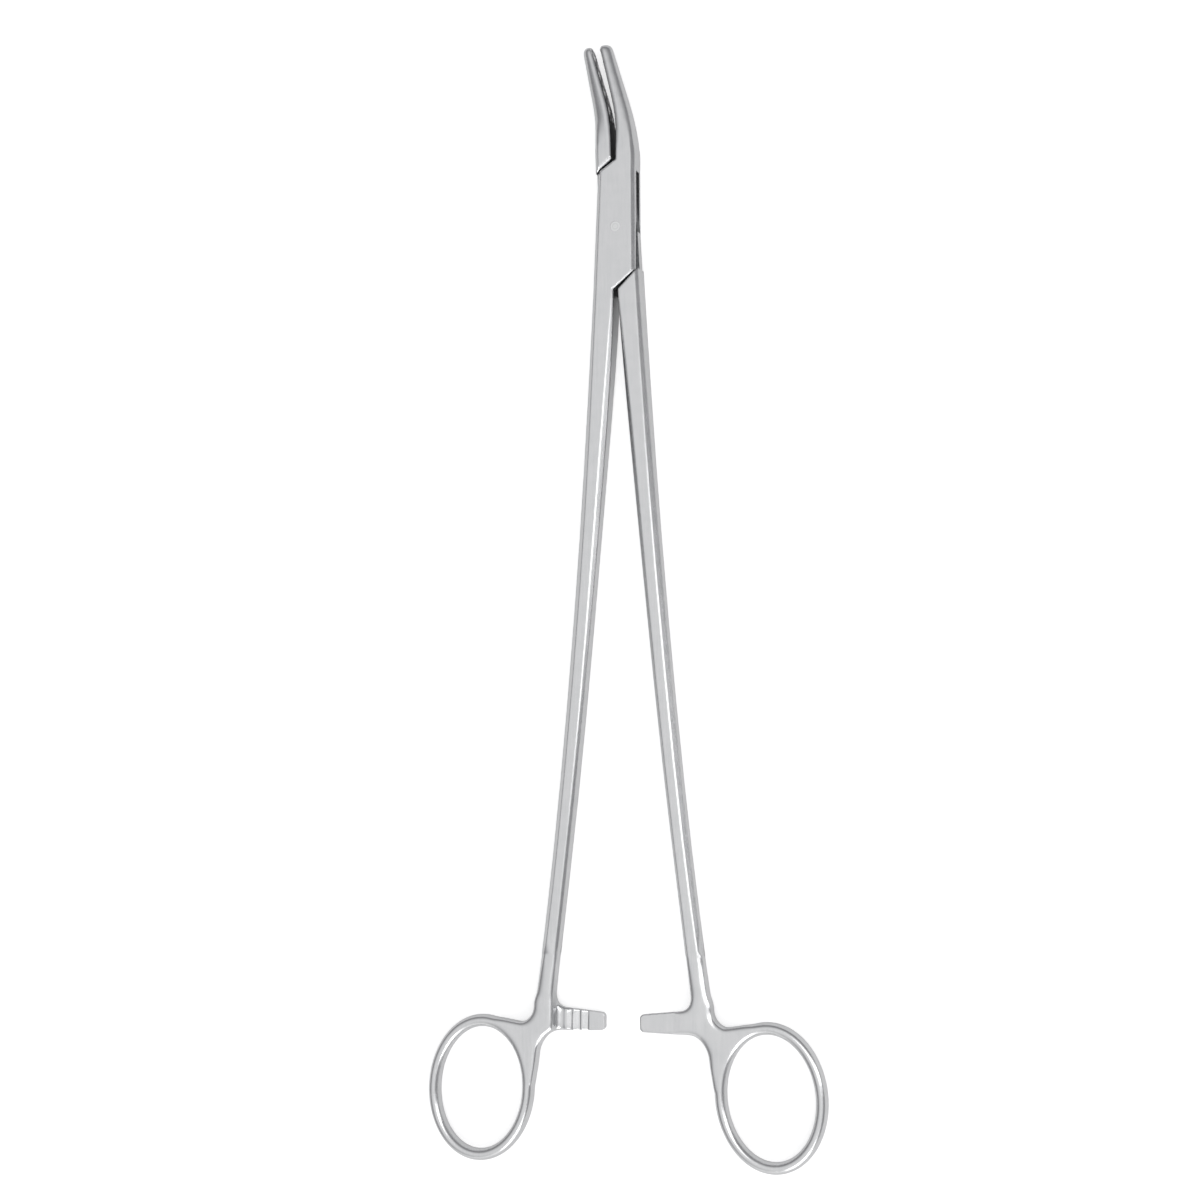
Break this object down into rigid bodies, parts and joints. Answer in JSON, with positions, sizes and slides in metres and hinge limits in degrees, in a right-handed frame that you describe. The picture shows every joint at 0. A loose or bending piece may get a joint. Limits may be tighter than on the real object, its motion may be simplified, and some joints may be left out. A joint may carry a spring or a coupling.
{
  "type": "needle holder",
  "caption": "Long slender ring-handled needle holder with a box joint, a toothed ratchet, slim jaws that curve to one side and cross-cut jaw inserts.",
  "frame": {"origin": "on the pivot pin's axis, in the plane of the box joint's underside", "axes": "+X to the right, +Y from the box joint towards the jaws, +Z along the pivot pin towards the front face"},
  "size_m": [0.097, 0.266, 0.006],
  "materials": {
    "steel": "satin",
    "pin_steel": "satin",
    "insert_metal": "cross-cut"
  },
  "bodies": {
    "box_side": {"box_half": "steel", "pivot_pin": "pin_steel", "box_jaw_insert": "insert_metal"},
    "through_side": {"through_half": "steel", "through_jaw_insert": "insert_metal"}
  },
  "joints": [
    {"name": "box_joint", "type": "hinge", "parent": "box_side", "child": "through_side", "pos_m": [0, 0, 0.003], "axis": [0, 0, 1], "range_deg": [-2.3, 42.5]}
  ]
}
